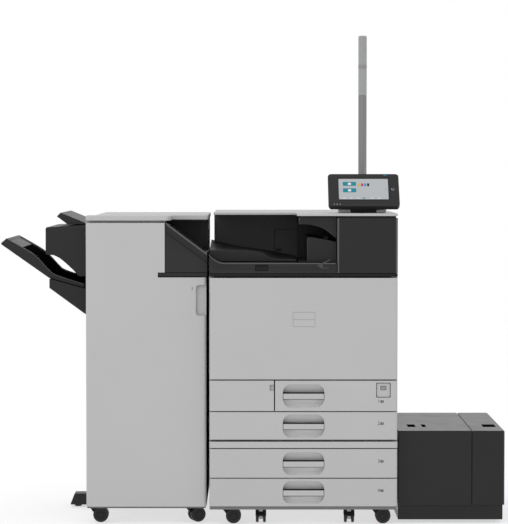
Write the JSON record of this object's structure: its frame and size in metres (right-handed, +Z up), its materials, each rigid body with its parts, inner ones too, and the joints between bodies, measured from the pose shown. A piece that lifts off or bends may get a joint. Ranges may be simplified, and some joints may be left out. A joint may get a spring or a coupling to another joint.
{
  "type": "photocopier",
  "caption": "Floor-standing colour printing machine with a touch panel, drawers, a floor finisher with stacking trays and a side tray for bulk paper.",
  "frame": {"origin": "on the floor, in the middle of the whole outline in X and Y", "axes": "+X to the operator's right, +Y to the machine's back, +Z up"},
  "size_m": [1.586, 0.685, 1.56],
  "materials": {
    "light_grey_plastic": "fine-grained light grey moulded covers",
    "black_plastic": "textured black moulded plastic",
    "charcoal_plastic": "textured charcoal covers",
    "dark_grey_plastic": "plain dark grey inner plastic",
    "caster_wheel": "black nylon caster tread",
    "mast_metal": "anodised grey tube",
    "plate_metal": "plain plate",
    "lamp_lens": "translucent grey lamp lens",
    "display_glass": "lit touch display behind a clear sheet",
    "toner_yellow": "yellow bottle",
    "toner_magenta": "magenta bottle",
    "toner_cyan": "cyan bottle",
    "toner_black": "black bottle"
  },
  "bodies": {
    "main": {"feeder_cabinet": "light_grey_plastic", "main_cabinet": "light_grey_plastic", "output_housing": "black_plastic", "upper_right_cover": "black_plastic", "exit_housing": "black_plastic", "roof_cover": "light_grey_plastic", "bridge_unit": "black_plastic", "panel_base": "light_grey_plastic", "mast_pole": "mast_metal", "mast_lens": "lamp_lens", "toner_bottle_yellow": "toner_yellow", "toner_bottle_magenta": "toner_magenta", "toner_bottle_cyan": "toner_cyan", "toner_bottle_black": "toner_black", "transfer_belt_unit": "dark_grey_plastic", "fuser_unit": "dark_grey_plastic", "waste_toner_bottle": "light_grey_plastic"},
    "front_door": {"front_door": "light_grey_plastic"},
    "waste_cover": {"waste_toner_cover": "light_grey_plastic"},
    "tray_1": {"tray_1_front": "light_grey_plastic", "tray_1_box": "dark_grey_plastic"},
    "tray_2": {"tray_2_front": "light_grey_plastic", "tray_2_box": "dark_grey_plastic"},
    "tray_3": {"tray_3_front": "light_grey_plastic", "tray_3_box": "dark_grey_plastic"},
    "tray_4": {"tray_4_front": "light_grey_plastic", "tray_4_box": "dark_grey_plastic"},
    "touch_panel": {"panel_housing": "black_plastic", "panel_display": "display_glass"},
    "home_key": {"home_key": "light_grey_plastic"},
    "power_rocker": {"power_rocker": "black_plastic"},
    "bridge_lid": {"bridge_lid": "black_plastic"},
    "right_cover": {"right_cover": "light_grey_plastic"},
    "bypass_tray": {"bypass_tray": "light_grey_plastic"},
    "finisher": {"finisher_cabinet": "light_grey_plastic", "finisher_top_cover": "light_grey_plastic", "finisher_ramp": "black_plastic", "finisher_exit_cover": "black_plastic", "upper_tray": "black_plastic", "stabiliser_foot": "black_plastic"},
    "finisher_door": {"finisher_door": "light_grey_plastic"},
    "shift_tray": {"shift_tray": "black_plastic", "shift_tray_base": "black_plastic"},
    "lct": {"lct_body": "charcoal_plastic"},
    "lct_cover": {"lct_right_cover": "charcoal_plastic"},
    "lct_plate": {"lct_lift_plate": "plate_metal"},
    "front_left_caster_fork": {"front_left_caster_fork": "black_plastic"},
    "front_left_caster_wheels": {"front_left_caster_wheels": "caster_wheel"},
    "front_right_caster_fork": {"front_right_caster_fork": "black_plastic"},
    "front_right_caster_wheels": {"front_right_caster_wheels": "caster_wheel"},
    "finisher_left_caster_fork": {"finisher_left_caster_fork": "black_plastic"},
    "finisher_left_caster_wheels": {"finisher_left_caster_wheels": "caster_wheel"},
    "finisher_right_caster_fork": {"finisher_right_caster_fork": "black_plastic"},
    "finisher_right_caster_wheels": {"finisher_right_caster_wheels": "caster_wheel"},
    "small_left_wheels": {"small_left_wheels": "caster_wheel"},
    "small_right_wheels": {"small_right_wheels": "caster_wheel"},
    "rear_left_wheels": {"rear_left_wheels": "caster_wheel"},
    "rear_right_wheels": {"rear_right_wheels": "caster_wheel"},
    "finisher_rear_left_wheels": {"finisher_rear_left_wheels": "caster_wheel"},
    "finisher_rear_right_wheels": {"finisher_rear_right_wheels": "caster_wheel"}
  },
  "joints": [
    {"name": "front_door_swing", "type": "hinge", "parent": "main", "child": "front_door", "pos_m": [0.447, -0.3365, 0.4575], "axis": [0, 0, 1], "range_deg": [0, 110]},
    {"name": "waste_cover_swing", "type": "hinge", "parent": "main", "child": "waste_cover", "pos_m": [-0.128, -0.3365, 0.361], "axis": [0, 0, -1], "range_deg": [0, 90]},
    {"name": "tray_1_slide", "type": "slide", "parent": "main", "child": "tray_1", "axis": [0, -1, 0], "range_m": [0, 0.4]},
    {"name": "tray_2_slide", "type": "slide", "parent": "main", "child": "tray_2", "axis": [0, -1, 0], "range_m": [0, 0.4]},
    {"name": "tray_3_slide", "type": "slide", "parent": "main", "child": "tray_3", "axis": [0, -1, 0], "range_m": [0, 0.4]},
    {"name": "tray_4_slide", "type": "slide", "parent": "main", "child": "tray_4", "axis": [0, -1, 0], "range_m": [0, 0.4]},
    {"name": "panel_tilt", "type": "hinge", "parent": "main", "child": "touch_panel", "pos_m": [0.35, -0.2175, 1], "axis": [1, 0, 0], "range_deg": [-35, 3]},
    {"name": "home_key_press", "type": "slide", "parent": "touch_panel", "child": "home_key", "axis": [0, 0.7431, -0.6691], "range_m": [0, 0.001], "stiffness_N_per_m": 300},
    {"name": "power_rocker_tilt", "type": "hinge", "parent": "main", "child": "power_rocker", "pos_m": [0.4085, -0.3335, 0.43], "axis": [1, 0, 0], "range_deg": [-6, 6], "stiffness_Nm_per_rad": 0.05},
    {"name": "bridge_lid_lift", "type": "hinge", "parent": "main", "child": "bridge_lid", "pos_m": [0, 0.0475, 0.862], "axis": [-1, 0, 0], "range_deg": [0, 20]},
    {"name": "right_cover_swing", "type": "hinge", "parent": "main", "child": "right_cover", "pos_m": [0.453, 0, 0.3115], "axis": [0, 1, 0], "range_deg": [0, 35]},
    {"name": "bypass_tray_fold", "type": "hinge", "parent": "right_cover", "child": "bypass_tray", "pos_m": [0.453, 0, 0.4615], "axis": [0, 1, 0], "range_deg": [0, 70]},
    {"name": "finisher_undock", "type": "slide", "parent": "main", "child": "finisher", "axis": [-1, 0, 0], "range_m": [0, 0.35]},
    {"name": "finisher_door_swing", "type": "hinge", "parent": "finisher", "child": "finisher_door", "pos_m": [-0.514, -0.3115, 0.0555], "axis": [0, 0, -1], "range_deg": [0, 100]},
    {"name": "shift_tray_lift", "type": "slide", "parent": "finisher", "child": "shift_tray", "axis": [0, 0, 1], "range_m": [-0.45, 0]},
    {"name": "lct_undock", "type": "slide", "parent": "main", "child": "lct", "axis": [1, 0, 0], "range_m": [0, 0.3]},
    {"name": "lct_cover_swing", "type": "hinge", "parent": "lct", "child": "lct_cover", "pos_m": [0.793, 0, 0.0575], "axis": [0, 1, 0], "range_deg": [0, 85]},
    {"name": "lct_plate_lift", "type": "slide", "parent": "lct", "child": "lct_plate", "axis": [0, 0, 1], "range_m": [0, 0.18]},
    {"name": "front_left_caster_swivel", "type": "hinge", "parent": "main", "child": "front_left_caster_fork", "pos_m": [-0.081, -0.2825, 0.056], "axis": [0, 0, 1], "continuous": true},
    {"name": "front_left_caster_roll", "type": "hinge", "parent": "front_left_caster_fork", "child": "front_left_caster_wheels", "pos_m": [-0.059, -0.2825, 0.0245], "axis": [0, 1, 0], "continuous": true},
    {"name": "front_right_caster_swivel", "type": "hinge", "parent": "main", "child": "front_right_caster_fork", "pos_m": [0.388, -0.2825, 0.056], "axis": [0, 0, 1], "continuous": true},
    {"name": "front_right_caster_roll", "type": "hinge", "parent": "front_right_caster_fork", "child": "front_right_caster_wheels", "pos_m": [0.41, -0.2825, 0.0245], "axis": [0, 1, 0], "continuous": true},
    {"name": "finisher_left_caster_swivel", "type": "hinge", "parent": "finisher", "child": "finisher_left_caster_fork", "pos_m": [-0.499, -0.2575, 0.056], "axis": [0, 0, 1], "continuous": true},
    {"name": "finisher_left_caster_roll", "type": "hinge", "parent": "finisher_left_caster_fork", "child": "finisher_left_caster_wheels", "pos_m": [-0.477, -0.2575, 0.0245], "axis": [0, 1, 0], "continuous": true},
    {"name": "finisher_right_caster_swivel", "type": "hinge", "parent": "finisher", "child": "finisher_right_caster_fork", "pos_m": [-0.196, -0.2575, 0.056], "axis": [0, 0, 1], "continuous": true},
    {"name": "finisher_right_caster_roll", "type": "hinge", "parent": "finisher_right_caster_fork", "child": "finisher_right_caster_wheels", "pos_m": [-0.17533, -0.24998, 0.0245], "axis": [-0.342, 0.9397, 0], "continuous": true},
    {"name": "small_left_wheels_roll", "type": "hinge", "parent": "main", "child": "small_left_wheels", "pos_m": [0.027, -0.2725, 0.019], "axis": [1, 0, 0], "continuous": true},
    {"name": "small_right_wheels_roll", "type": "hinge", "parent": "main", "child": "small_right_wheels", "pos_m": [0.3045, -0.2725, 0.019], "axis": [1, 0, 0], "continuous": true},
    {"name": "rear_left_wheels_roll", "type": "hinge", "parent": "main", "child": "rear_left_wheels", "pos_m": [-0.08, 0.2795, 0.0245], "axis": [1, 0, 0], "continuous": true},
    {"name": "rear_right_wheels_roll", "type": "hinge", "parent": "main", "child": "rear_right_wheels", "pos_m": [0.399, 0.2795, 0.0245], "axis": [1, 0, 0], "continuous": true},
    {"name": "finisher_rear_left_wheels_roll", "type": "hinge", "parent": "finisher", "child": "finisher_rear_left_wheels", "pos_m": [-0.48, 0.2395, 0.0245], "axis": [1, 0, 0], "continuous": true},
    {"name": "finisher_rear_right_wheels_roll", "type": "hinge", "parent": "finisher", "child": "finisher_rear_right_wheels", "pos_m": [-0.185, 0.2395, 0.0245], "axis": [1, 0, 0], "continuous": true}
  ]
}
